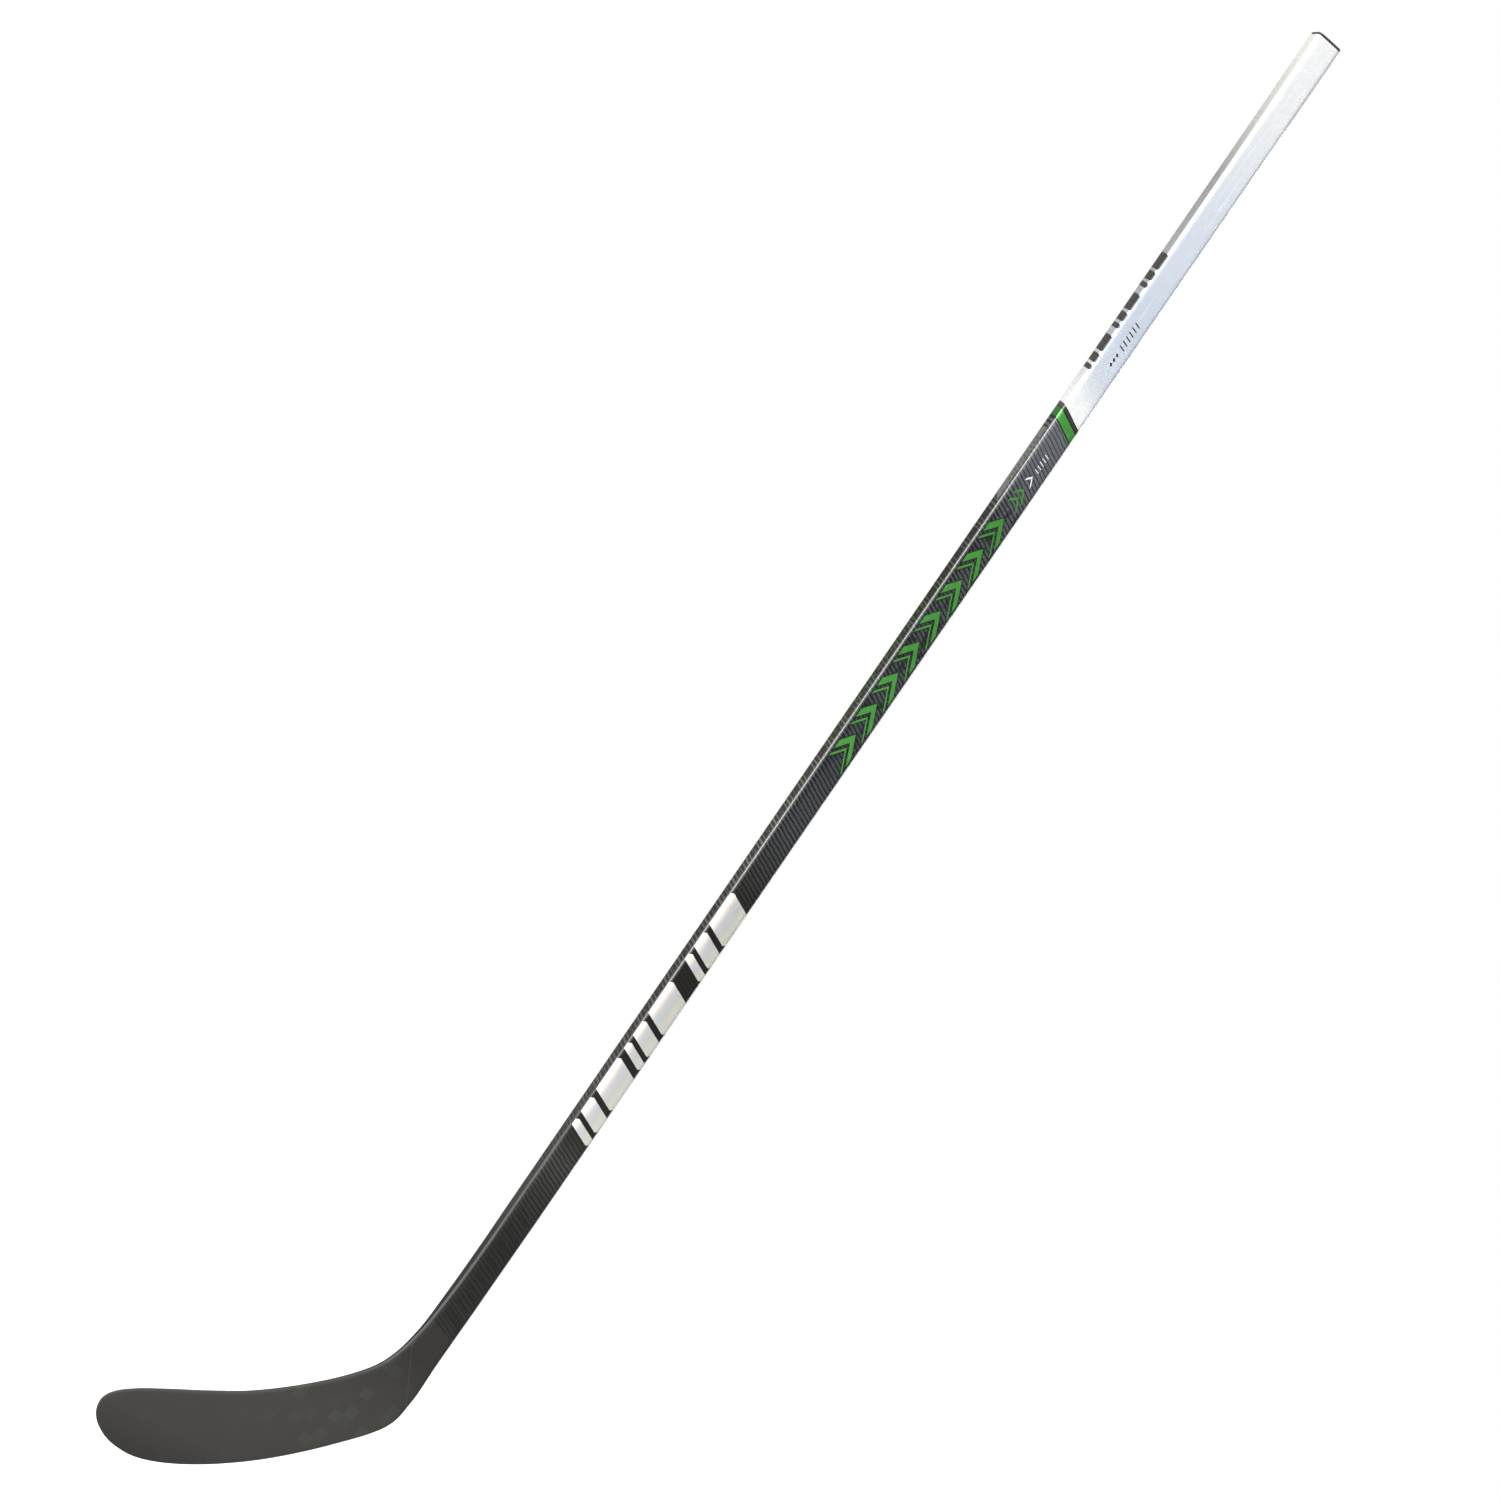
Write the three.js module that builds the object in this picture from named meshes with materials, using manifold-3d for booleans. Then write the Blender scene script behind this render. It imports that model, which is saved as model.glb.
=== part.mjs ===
// A one-piece composite ice hockey stick: a hollow carbon shaft with a push-in butt cap, fused
// to a hosel and a foam-cored blade. Millimetres. +Z runs up the shaft, the origin is the middle
// of the butt cap's top face, the toe of the blade points along -X and the forehand face is -Y.

import * as THREE from 'three';
import { ParametricGeometry } from 'three/addons/geometries/ParametricGeometry.js';
import { mergeVertices } from 'three/addons/utils/BufferGeometryUtils.js';
import Module from 'manifold-3d';

const wasm = await Module();
wasm.setup();

// Shaft section.
const SHAFT_WIDTH = 29;
const SHAFT_THICKNESS = 19;
const SHAFT_CORNER = 5;
const SHAFT_WALL = 1.6;

// Gap kept between pieces that are glued or seated together.
const GAP = 0.3;

// Butt cap: a flange flush with the shaft and a hollow spigot with lengthwise crush ribs.
const FLANGE_THICKNESS = 2.1;
const FLANGE_EDGE = 0.6;
const SPIGOT_END = -30;
const SPIGOT_WALL = 1.8;
const SPIGOT_INSET = SHAFT_WALL + 0.9;
const CRUSH_RIB_WIDTH = 1.2;
const CRUSH_RIB_INSET = SHAFT_WALL + GAP;
const CRUSH_RIBS_ACROSS = [-7, 0, 7];
const CRUSH_RIBS_SIDE = [-3, 3];
const POCKET_TOP = -FLANGE_THICKNESS;
const CORNER_STEPS = 3;

// Outline of the hosel and blade, from the toe side of the shaft, down round the toe and back
// up to the heel side. The first and last points face each other, and so do all pairs between
// them. Each entry is x, z and the thickness there.
const TOE_SIDE = [
  [-14.5, -1300, 19],
  [-14.7, -1350, 18],
  [-16.2, -1400, 16],
  [-19.6, -1443, 12],
  [-29.8, -1479, 9.6],
  [-51, -1506, 8.2],
  [-85, -1534.5, 7.4],
  [-122.5, -1559, 7],
  [-157, -1575.3, 6.6],
  [-189, -1588.5, 6.2],
  [-216, -1600, 5.8],
  [-234, -1610.5, 5.4],
  [-241.5, -1621, 5.2],
];
const TOE_TIP = [-239.5, -1633, 5];
const HEEL_SIDE = [
  [14.5, -1300, 19],
  [14.5, -1354, 18],
  [14.7, -1408, 16],
  [15, -1458, 12],
  [15.4, -1501, 9.6],
  [8, -1533.5, 8.2],
  [-27, -1570, 7.4],
  [-68, -1603, 7],
  [-109, -1628, 6.6],
  [-149, -1645.5, 6.2],
  [-184, -1653.8, 5.8],
  [-212, -1651.3, 5.4],
  [-230, -1643, 5.2],
];

// Blade curve: past the heel the mid-surface bends forward, and its face opens towards the toe.
const HEEL_Z = -1500;
const LIE = THREE.MathUtils.degToRad(50);
const CURVE_LENGTH = 285;
const CURVE_DEPTH = 34;
const CURVE_POWER = 2.1;
const FACE_OPENING = 0.09;

// Stations along the outline, counted in pairs of outline points.
const SHAFT_END = 2.5;
const HEEL_SEAM = 4.4;
const BLADE_END = 12.9;
const JOINT_GAP = 0.01;
const PAST_END = 0.05;
const TENON_TOP = 1.1;
const TENON_BOTTOM = 3.6;

// Laminate layers of the blade, from the outside in.
const HOSEL_WALL = 1.4;
const SKIN = 1.2;
const RAIL_OUTER = SKIN + GAP;
const RAIL_WIDTH = 4;
const RIB_HALF = 1.2;
const TENON_WALL = 2;
const EDGE_ROUNDING = 0.9;
const BEYOND = 6;

function ofPoint([x, z, thickness]) {
  return new THREE.Vector3(x, thickness, z);
}

const outline = new THREE.CatmullRomCurve3(
  [...TOE_SIDE, TOE_TIP, ...HEEL_SIDE.toReversed()].map(ofPoint),
  false,
  'catmullrom',
  0.5
);
const OUTLINE_STEPS = TOE_SIDE.length + HEEL_SIDE.length;

// How far the blade's mid-surface stands from the shaft's centre plane at a point of that plane.
function curveAt(x, z) {
  const along = -x * Math.sin(LIE) - (z - HEEL_Z) * Math.cos(LIE);
  const across = -x * Math.cos(LIE) + (z - HEEL_Z) * Math.sin(LIE);
  const share = Math.max(along / CURVE_LENGTH, 0);
  return FACE_OPENING * across * share - CURVE_DEPTH * share ** CURVE_POWER;
}

// A point of the outline moved inwards, square to the outline.
function outlinePoint(t, inset) {
  const point = outline.getPoint(t);
  const tangent = outline.getTangent(t);
  const inwards = new THREE.Vector2(-tangent.z, tangent.x).normalize().multiplyScalar(inset);
  return { x: point.x + inwards.x, z: point.z + inwards.y, thickness: point.y };
}

// A cross-section of the hosel or blade: its two edge points and its thickness.
function ribAt(station, inset) {
  const t = station / OUTLINE_STEPS;
  const toe = outlinePoint(t, inset);
  const heel = outlinePoint(1 - t, inset);
  return { toe, heel, thickness: (toe.thickness + heel.thickness) / 2 };
}

// A cross-section of the straight shaft at height z.
function shaftRib(z, inset) {
  const half = SHAFT_WIDTH / 2 - inset;
  return { toe: { x: -half, z }, heel: { x: half, z }, thickness: SHAFT_THICKNESS };
}

// Puts a section's own point, across and through, into space.
function placed(rib, across, through) {
  const middleX = (rib.toe.x + rib.heel.x) / 2;
  const middleZ = (rib.toe.z + rib.heel.z) / 2;
  const width = Math.hypot(rib.heel.x - rib.toe.x, rib.heel.z - rib.toe.z);
  const x = middleX + (across * (rib.heel.x - rib.toe.x)) / width;
  const z = middleZ + (across * (rib.heel.z - rib.toe.z)) / width;
  return new THREE.Vector3(x, curveAt(x, z) + through, z);
}

function halfWidth(rib) {
  return Math.hypot(rib.heel.x - rib.toe.x, rib.heel.z - rib.toe.z) / 2;
}

// A rounded rectangle's points, counter-clockwise from the lower right corner.
function roundedLoop(halfX, halfY, radius) {
  const corners = [
    [1, -1, -90],
    [1, 1, 0],
    [-1, 1, 90],
    [-1, -1, 180],
  ];
  return corners.flatMap(([signX, signY, start]) =>
    Array.from({ length: CORNER_STEPS + 1 }, (_, step) => {
      const angle = THREE.MathUtils.degToRad(start + (90 * step) / CORNER_STEPS);
      return [
        signX * (halfX - radius) + radius * Math.cos(angle),
        signY * (halfY - radius) + radius * Math.sin(angle),
      ];
    })
  );
}

// The closed section loop of a rib whose faces are moved in by inset.
function sectionLoop(rib, inset) {
  const halfX = halfWidth(rib);
  const halfY = rib.thickness / 2 - inset;
  const radius = Math.min(SHAFT_CORNER - inset / 2, EDGE_ROUNDING * halfY, EDGE_ROUNDING * halfX);
  return roundedLoop(halfX, halfY, radius).map(([across, through]) => placed(rib, across, through));
}

// Turns a closed geometry into a solid for cutting and joining.
function solid(geometry) {
  geometry.deleteAttribute('normal');
  geometry.deleteAttribute('uv');
  const merged = mergeVertices(geometry, 1e-4);
  const index = Array.from(merged.index.array);
  const triVerts = [];
  for (let i = 0; i < index.length; i += 3) {
    const [a, b, c] = index.slice(i, i + 3);
    if (a !== b && b !== c && c !== a) {
      triVerts.push(a, b, c);
    }
  }
  return new wasm.Manifold(
    new wasm.Mesh({
      numProp: 3,
      vertProperties: new Float32Array(merged.attributes.position.array),
      triVerts: new Uint32Array(triVerts),
    })
  );
}

// A closed solid through section loops given from the top down, with a flat end on the first
// and the last.
function loft(loops) {
  const total = (loop) => loop.reduce((sum, p) => sum.add(p), new THREE.Vector3());
  const middle = (loop) => total(loop).divideScalar(loop.length);
  const flat = (loop) => loop.map(() => middle(loop));
  const rows = [flat(loops[0]), ...loops, flat(loops.at(-1))].toReversed();
  const count = loops[0].length;
  const surface = (u, v, target) => {
    const row = rows[Math.round(v * (rows.length - 1))];
    target.copy(row[Math.round(u * count) % count]);
  };
  return solid(new ParametricGeometry(surface, count, rows.length - 1));
}

// Stations from one end to the other, closer together towards the last.
function stations(from, to, count) {
  return Array.from({ length: count + 1 }, (_, step) => {
    return from + (to - from) * Math.sin(((step / count) * Math.PI) / 2);
  });
}

const SHAFT_STATIONS = stations(0, SHAFT_END, 7);
const HOSEL_STATIONS = stations(SHAFT_END + JOINT_GAP, HEEL_SEAM, 8);
const BLADE_STATIONS = stations(HEEL_SEAM + JOINT_GAP, BLADE_END, 22);

// Adds a station before the first, for a cut that has to pass the end.
function openedAtTop(list) {
  return [list[0] - PAST_END, ...list];
}

// Adds a station after the last as well.
function openedAtBoth(list) {
  return [...openedAtTop(list), list.at(-1) + PAST_END];
}

// The body inside the outline through the listed stations, drawn in from its two faces by inset,
// and by edgeInset at the outline itself.
function layer(list, inset, edgeInset = inset) {
  return loft(list.map((station) => sectionLoop(ribAt(station, edgeInset), inset)));
}

// A cutting body: a band of each section, given across and through; null reaches past the edge.
function band(list, acrossLow, acrossHigh, throughLow, throughHigh) {
  const loops = list.map((station) => {
    const rib = ribAt(station, 0);
    const low = acrossLow ?? -halfWidth(rib) - BEYOND;
    const high = acrossHigh ?? halfWidth(rib) + BEYOND;
    return [
      placed(rib, high, throughLow),
      placed(rib, high, throughHigh),
      placed(rib, low, throughHigh),
      placed(rib, low, throughLow),
    ];
  });
  return loft(loops);
}

// A straight prism of the shaft's outline drawn in by inset, from low to high.
function shaftPrism(low, high, inset) {
  const loops = [low, high].map((z) => {
    const halfX = SHAFT_WIDTH / 2 - inset;
    const halfY = SHAFT_THICKNESS / 2 - inset;
    return roundedLoop(halfX, halfY, SHAFT_CORNER - inset).map(([x, y]) => new THREE.Vector3(x, y, z));
  });
  return loft(loops.toReversed());
}

function boxBody(x, y, z, sizeX, sizeY, sizeZ) {
  const box = new THREE.BoxGeometry(sizeX, sizeY, sizeZ);
  box.translate(x, y, z);
  return solid(box);
}

// Shaft: one tube from under the cap flange down through the tapered lower end.
function shaftTube() {
  const tube = (inset, top, list) =>
    loft([shaftRib(top, inset), ...list.map((s) => ribAt(s, inset))].map((rib) => sectionLoop(rib, inset)));
  const bore = tube(SHAFT_WALL, BEYOND, [...SHAFT_STATIONS, SHAFT_END + PAST_END]);
  return tube(0, -FLANGE_THICKNESS - GAP, SHAFT_STATIONS).subtract(bore);
}

// Butt cap flange: the shaft's outline with a softened top edge.
function capFlange() {
  const shelf = (z, inset) =>
    roundedLoop(SHAFT_WIDTH / 2 - inset, SHAFT_THICKNESS / 2 - inset, SHAFT_CORNER - inset).map(
      ([x, y]) => new THREE.Vector3(x, y, z)
    );
  return loft([shelf(0, FLANGE_EDGE), shelf(-FLANGE_EDGE, 0), shelf(-FLANGE_THICKNESS, 0)]);
}

// Crush ribs stand on the spigot's four sides and run its length.
function crushRibs() {
  const length = -SPIGOT_END - FLANGE_THICKNESS - 1;
  const z = -FLANGE_THICKNESS - length / 2;
  const spanX = SHAFT_WIDTH - 2 * CRUSH_RIB_INSET;
  const spanY = SHAFT_THICKNESS - 2 * CRUSH_RIB_INSET;
  const across = CRUSH_RIBS_ACROSS.map((x) => boxBody(x, 0, z, CRUSH_RIB_WIDTH, spanY, length));
  const side = CRUSH_RIBS_SIDE.map((y) => boxBody(0, y, z, spanX, CRUSH_RIB_WIDTH, length));
  return [...across, ...side].reduce((all, rib) => all.add(rib));
}

function buttCap() {
  const spigot = shaftPrism(SPIGOT_END, -FLANGE_THICKNESS / 2, SPIGOT_INSET);
  const pocket = shaftPrism(SPIGOT_END - 1, POCKET_TOP, SPIGOT_INSET + SPIGOT_WALL);
  return capFlange().add(spigot).add(crushRibs()).subtract(pocket);
}

// Foam plug glued into the shaft just above the tenon.
function shaftFoamPlug() {
  return layer(SHAFT_STATIONS.filter((s) => s < TENON_TOP - JOINT_GAP).slice(-2), SHAFT_WALL + GAP);
}

// Hollow tenon that joins the shaft to the hosel from the inside.
function hoselTenon() {
  const list = [...SHAFT_STATIONS, ...HOSEL_STATIONS].filter((s) => s > TENON_TOP && s < TENON_BOTTOM);
  const outer = layer(list, SHAFT_WALL + GAP);
  return outer.subtract(layer(openedAtBoth(list), SHAFT_WALL + GAP + TENON_WALL));
}

// Outer shell of the hosel, open at both ends.
function hoselShell() {
  return layer(HOSEL_STATIONS, 0).subtract(layer(openedAtBoth(HOSEL_STATIONS), HOSEL_WALL));
}

// Structural foam that fills the hosel between the tenon and the blade cores.
function heelBlock() {
  return layer(HOSEL_STATIONS.filter((s) => s > TENON_BOTTOM), HOSEL_WALL + GAP);
}

// One carbon face skin: half of the blade's outer shell, split along the mid-surface.
function bladeSkin(side) {
  const hollow = layer(openedAtTop(BLADE_STATIONS.slice(0, -1)), SKIN);
  const reach = side * SHAFT_THICKNESS;
  const seam = (side * GAP) / 2;
  const [low, high] = side < 0 ? [reach, seam] : [seam, reach];
  const half = band(openedAtBoth(BLADE_STATIONS), null, null, low, high);
  return layer(BLADE_STATIONS, 0).subtract(hollow).intersect(half);
}

// Carbon tow rail that runs along the top edge, round the toe and back along the sole.
function edgeRail() {
  const inside = layer(openedAtTop(BLADE_STATIONS.slice(0, -3)), 0, RAIL_OUTER + RAIL_WIDTH);
  return layer(BLADE_STATIONS.slice(0, -2), RAIL_OUTER).subtract(inside);
}

function bladeCoreBody() {
  return layer(BLADE_STATIONS.slice(0, -4), RAIL_OUTER, RAIL_OUTER + RAIL_WIDTH + GAP);
}

// Foam above (side -1) or below (side 1) the centre rib.
function bladeCore(side) {
  const edge = side * (RIB_HALF + GAP);
  const [low, high] = side < 0 ? [null, edge] : [edge, null];
  const half = band(openedAtBoth(BLADE_STATIONS), low, high, -SHAFT_THICKNESS, SHAFT_THICKNESS);
  return bladeCoreBody().intersect(half);
}

// Carbon bridge between the two foam cores, from skin to skin.
function centreRib() {
  const list = openedAtBoth(BLADE_STATIONS);
  return bladeCoreBody().intersect(band(list, -RIB_HALF, RIB_HALF, -SHAFT_THICKNESS, SHAFT_THICKNESS));
}

function geometryOf(body) {
  const { numProp, vertProperties, triVerts } = body.getMesh();
  const geometry = new THREE.BufferGeometry();
  const positions = new Float32Array((vertProperties.length / numProp) * 3);
  for (let i = 0; i < positions.length / 3; i += 1) {
    positions.set(vertProperties.subarray(i * numProp, i * numProp + 3), i * 3);
  }
  geometry.setAttribute('position', new THREE.BufferAttribute(positions, 3));
  geometry.setIndex(new THREE.BufferAttribute(new Uint32Array(triVerts), 1));
  geometry.computeVertexNormals();
  return geometry;
}

const lacquer = new THREE.MeshStandardMaterial({ color: 0x24272b, roughness: 0.2, metalness: 0.1 });
const plastic = new THREE.MeshStandardMaterial({ color: 0x35363a, roughness: 0.5, metalness: 0 });
const rawCarbon = new THREE.MeshStandardMaterial({ color: 0x2b2b29, roughness: 0.6, metalness: 0 });
const tow = new THREE.MeshStandardMaterial({ color: 0x1a1a1b, roughness: 0.5, metalness: 0 });
const foam = new THREE.MeshStandardMaterial({ color: 0xe6dcbc, roughness: 0.9, metalness: 0 });

const stick = new THREE.Group();

function addPiece(name, body, material) {
  const mesh = new THREE.Mesh(geometryOf(body), material);
  mesh.name = name;
  stick.add(mesh);
}

addPiece('butt_cap', buttCap(), plastic);
addPiece('shaft_tube', shaftTube(), lacquer);
addPiece('shaft_foam_plug', shaftFoamPlug(), foam);
addPiece('hosel_tenon', hoselTenon(), tow);
addPiece('hosel_shell', hoselShell(), rawCarbon);
addPiece('heel_block', heelBlock(), foam);
addPiece('blade_forehand_skin', bladeSkin(-1), rawCarbon);
addPiece('blade_backhand_skin', bladeSkin(1), rawCarbon);
addPiece('blade_edge_rail', edgeRail(), tow);
addPiece('blade_upper_core', bladeCore(-1), foam);
addPiece('blade_lower_core', bladeCore(1), foam);
addPiece('blade_centre_rib', centreRib(), tow);

export default stick;
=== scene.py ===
"""Looks for the packed ice hockey stick. Metres, +Z up the shaft, toe along -X, forehand face -Y."""

import math

import bmesh
import bpy
from mathutils import Matrix, Vector


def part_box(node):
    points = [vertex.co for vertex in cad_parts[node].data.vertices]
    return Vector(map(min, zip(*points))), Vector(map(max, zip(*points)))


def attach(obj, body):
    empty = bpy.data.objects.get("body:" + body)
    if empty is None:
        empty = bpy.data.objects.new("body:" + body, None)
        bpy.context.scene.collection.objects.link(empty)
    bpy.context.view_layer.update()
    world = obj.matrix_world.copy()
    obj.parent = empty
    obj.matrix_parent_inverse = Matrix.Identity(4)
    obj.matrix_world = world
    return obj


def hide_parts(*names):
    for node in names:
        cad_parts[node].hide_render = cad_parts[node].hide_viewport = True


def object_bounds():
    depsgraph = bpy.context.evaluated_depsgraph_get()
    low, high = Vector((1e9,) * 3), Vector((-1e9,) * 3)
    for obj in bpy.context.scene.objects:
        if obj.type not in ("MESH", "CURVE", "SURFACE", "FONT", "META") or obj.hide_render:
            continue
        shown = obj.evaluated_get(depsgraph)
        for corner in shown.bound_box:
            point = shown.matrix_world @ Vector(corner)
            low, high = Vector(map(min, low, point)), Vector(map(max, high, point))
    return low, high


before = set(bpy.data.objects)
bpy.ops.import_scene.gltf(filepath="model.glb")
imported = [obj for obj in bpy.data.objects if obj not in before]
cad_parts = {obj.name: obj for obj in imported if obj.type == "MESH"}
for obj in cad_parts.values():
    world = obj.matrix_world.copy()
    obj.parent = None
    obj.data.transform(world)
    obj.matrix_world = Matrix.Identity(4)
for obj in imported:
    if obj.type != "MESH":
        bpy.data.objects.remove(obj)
CAD_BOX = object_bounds()

MM = 0.001

# Shaft section, as in the CAD part, and the heights of the tube's and cap's ends.
SHAFT_WIDTH = 29 * MM
SHAFT_THICKNESS = 19 * MM
SHAFT_CORNER = 5 * MM
SHAFT_WALL = 1.6 * MM
SHAFT_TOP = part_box("shaft_tube")[1].z
CAP_TOP, CAP_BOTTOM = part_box("butt_cap")[1].z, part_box("butt_cap")[0].z

# How far the visible surfaces lie inside the CAD part's. The painted tube leaves room for printed
# film. Hosel and blade leave more, because their smooth outline bulges past the CAD's facets.
FILM_ROOM = 0.08 * MM
LAMINATE_ROOM = 0.3 * MM

# Outline of hosel and blade: x, z and thickness, in millimetres, in facing pairs.
TOE_SIDE = [
    (-14.5, -1300, 19), (-14.7, -1350, 18), (-16.2, -1400, 16), (-19.6, -1443, 12),
    (-29.8, -1479, 9.6), (-51, -1506, 8.2), (-85, -1534.5, 7.4), (-122.5, -1559, 7),
    (-157, -1575.3, 6.6), (-189, -1588.5, 6.2), (-216, -1600, 5.8), (-234, -1610.5, 5.4),
    (-241.5, -1621, 5.2),
]
TOE_TIP = (-239.5, -1633, 5)
HEEL_SIDE = [
    (14.5, -1300, 19), (14.5, -1354, 18), (14.7, -1408, 16), (15, -1458, 12),
    (15.4, -1501, 9.6), (8, -1533.5, 8.2), (-27, -1570, 7.4), (-68, -1603, 7),
    (-109, -1628, 6.6), (-149, -1645.5, 6.2), (-184, -1653.8, 5.8), (-212, -1651.3, 5.4),
    (-230, -1643, 5.2),
]
OUTLINE = [Vector(p) * MM for p in TOE_SIDE + [TOE_TIP] + HEEL_SIDE[::-1]]

# Blade curve and face opening.
HEEL_Z = -1500 * MM
LIE = math.radians(50)
CURVE_LENGTH = 285 * MM
CURVE_DEPTH = 34 * MM
CURVE_POWER = 2.1
FACE_OPENING = 0.09

# Stations along the tapering end, hosel and blade, counted in facing pairs of outline points.
SHAFT_END = 2.5
HEEL_SEAM = 4.4
STATION_GAP = 0.002
TOE_END = 12.985

# Walls of hosel and blade skins, and the gap between the two skins along the blade's edge.
HOSEL_WALL = 1.4 * MM
SKIN_WALL = 1.2 * MM
PARTING_GAP = 0.08 * MM

# The faces crown: they fall towards the edges by this share, which grows from one station on.
CROWN = 0.16
CROWN_POWER = 2.5
CROWN_START = 3.0
CROWN_RUN = 3.0

# A section's corner radius is at most this share of its half width or half thickness.
CORNER_LIMIT = 0.94

# Mesh density: steps round a corner, along a broad face and half a narrow one, and along each
# stretch of the stick.
CORNER_STEPS = 8
FACE_STEPS = 8
SIDE_STEPS = 4
TAPER_STEPS = 14
HOSEL_STEPS = 22
BLADE_STEPS = 72

# Edges sharper than this are shaded sharp, and points closer than this are joined.
SHARP_ANGLE = math.radians(38)
JOIN_DISTANCE = 1e-7

# The print follows planes that slant across the shaft. The white grip ends, and the dark field
# starts and ends its run of tones, at these distances below the butt, in millimetres.
SLANT_X = 0.45
SLANT_Y = -0.16
GRIP_END = 416
FIELD_START = 431
FIELD_END = 1431


# ------------------------------ shape of the stick


def catmull_rom(points, s):
    """A point of the uniform Catmull-Rom spline through points, at index s."""
    i = min(max(int(math.floor(s)), 0), len(points) - 2)
    w = s - i
    before = points[i - 1] if i > 0 else 2 * points[0] - points[1]
    after = points[i + 2] if i + 2 < len(points) else 2 * points[-1] - points[-2]
    a, b = points[i], points[i + 1]
    return 0.5 * (
        2 * a + (b - before) * w + (2 * before - 5 * a + 4 * b - after) * w**2
        + (3 * a - before - 3 * b + after) * w**3
    )


def outline_point(s, inset):
    """x, z and thickness of the outline at index s, moved inwards by inset."""
    step = 0.01
    point = catmull_rom(OUTLINE, s)
    ahead = catmull_rom(OUTLINE, s + step) - catmull_rom(OUTLINE, s - step)
    inwards = Vector((-ahead.y, ahead.x)).normalized() * inset
    return point.x + inwards.x, point.y + inwards.y, point.z


def rib_at(station, inset=0.0):
    """A section of hosel or blade: toe point, heel point and thickness."""
    toe_x, toe_z, toe_t = outline_point(station, inset)
    heel_x, heel_z, heel_t = outline_point(len(OUTLINE) - 1 - station, inset)
    return (toe_x, toe_z), (heel_x, heel_z), (toe_t + heel_t) / 2


def shaft_rib(z, inset=0.0):
    """A section of the straight shaft: toe point, heel point and thickness."""
    half = SHAFT_WIDTH / 2 - inset
    return (-half, z), (half, z), SHAFT_THICKNESS


def curve_at(x, z):
    """How far the blade's mid-surface stands off the shaft's centre plane."""
    along = -x * math.sin(LIE) - (z - HEEL_Z) * math.cos(LIE)
    across = -x * math.cos(LIE) + (z - HEEL_Z) * math.sin(LIE)
    share = max(along / CURVE_LENGTH, 0)
    return FACE_OPENING * across * share - CURVE_DEPTH * share**CURVE_POWER


def placed(rib, across, through):
    """The point of a rib that lies across and through by these distances from its middle."""
    (toe_x, toe_z), (heel_x, heel_z), _ = rib
    width = math.hypot(heel_x - toe_x, heel_z - toe_z)
    x = (toe_x + heel_x) / 2 + across * (heel_x - toe_x) / width
    z = (toe_z + heel_z) / 2 + across * (heel_z - toe_z) / width
    return Vector((x, curve_at(x, z) + through, z))


def half_width(rib):
    """Half the distance between a rib's toe point and heel point."""
    (toe_x, toe_z), (heel_x, heel_z), _ = rib
    return math.hypot(heel_x - toe_x, heel_z - toe_z) / 2


def front_half(half_x, half_y, radius):
    """Half a rounded rectangle, from its toe-side middle over the -Y face to its heel side."""
    points = []
    for step in range(SIDE_STEPS):
        points.append((-half_x, -step / SIDE_STEPS * (half_y - radius)))
    for step in range(CORNER_STEPS):
        angle = math.pi + step / CORNER_STEPS * math.pi / 2
        points.append((radius - half_x + radius * math.cos(angle),
                       radius - half_y + radius * math.sin(angle)))
    for step in range(FACE_STEPS):
        points.append(((half_x - radius) * (2 * step / FACE_STEPS - 1), -half_y))
    for step in range(CORNER_STEPS):
        angle = 1.5 * math.pi + step / CORNER_STEPS * math.pi / 2
        points.append((half_x - radius + radius * math.cos(angle),
                       radius - half_y + radius * math.sin(angle)))
    for step in range(SIDE_STEPS + 1):
        points.append((half_x, (step / SIDE_STEPS - 1) * (half_y - radius)))
    return points


def section_half(rib, inset, crown=0.0, gap=0.0, side=-1):
    """The -Y half (side -1) or +Y half (side 1) of a rib's section, edge to edge."""
    half_x = half_width(rib)
    half_y = rib[2] / 2 - inset
    radius = min(SHAFT_CORNER - inset / 2, CORNER_LIMIT * half_y, CORNER_LIMIT * half_x)
    points = []
    for across, through in front_half(half_x, half_y, radius):
        fall = 1 - crown * min(abs(across) / half_x, 1) ** CROWN_POWER
        points.append(placed(rib, across, -side * (through * fall - gap / 2)))
    return points


def section_loop(rib, inset, crown=0.0):
    """The whole closed section, -Y half first."""
    front = section_half(rib, inset, crown)
    back = section_half(rib, inset, crown, side=1)
    return front + back[::-1][1:-1]


def slanted(points, weight):
    """Shears a section loop of the shaft onto the print's slanting planes."""
    return [p - Vector((0, 0, weight * (SLANT_X * p.x + SLANT_Y * p.y))) for p in points]


# ------------------------------ mesh building


def new_object(name, mesh, materials):
    """A smooth-shaded object in the scene, with its materials in slot order."""
    obj = bpy.data.objects.new(name, mesh)
    bpy.context.scene.collection.objects.link(obj)
    for material in materials:
        mesh.materials.append(material)
    mesh.shade_smooth()
    mesh.set_sharp_from_angle(angle=SHARP_ANGLE)
    return obj


def ring_quads(count, here, there):
    """Quads between two closed loops of count points whose first vertices are here and there."""
    following = [(c + 1) % count for c in range(count)]
    return [(here + c, there + c, there + d, here + d) for c, d in enumerate(following)]


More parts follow.
